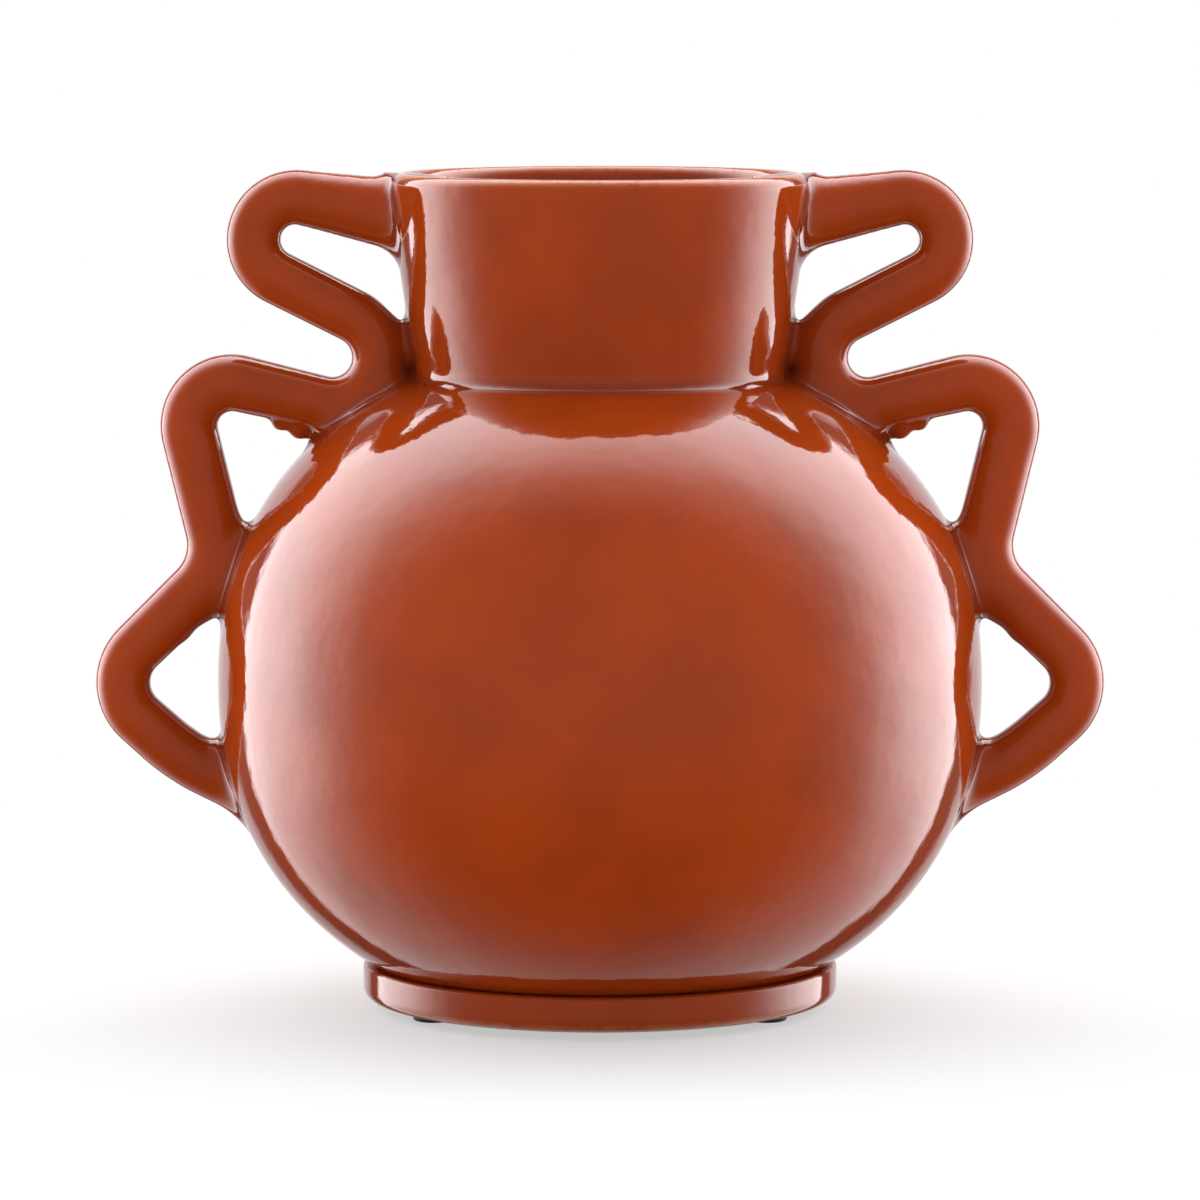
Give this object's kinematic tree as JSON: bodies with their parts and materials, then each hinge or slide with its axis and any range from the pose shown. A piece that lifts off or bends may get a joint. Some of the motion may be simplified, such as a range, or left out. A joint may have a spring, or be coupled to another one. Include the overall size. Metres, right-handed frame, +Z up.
{
  "type": "two-handled vase",
  "caption": "Round-bellied glazed stoneware vase with a flared neck, a low foot band and a wavy looping rod handle luted to each side.",
  "frame": {"origin": "on the vase's axis, at the level of the surface that its pads stand on", "axes": "+Z up the vase's axis, +X towards the right-hand handle, -Y towards the front"},
  "size_m": [0.242, 0.183, 0.2008],
  "materials": {
    "rust_glaze": "gloss",
    "pad_rubber": "matte"
  },
  "bodies": {
    "root": {"belly": "rust_glaze", "neck_collar": "rust_glaze", "foot_ring": "rust_glaze", "handle_right": "rust_glaze", "handle_left": "rust_glaze", "foot_pad_right": "pad_rubber", "foot_pad_left": "pad_rubber", "foot_pad_back": "pad_rubber"}
  },
  "joints": []
}
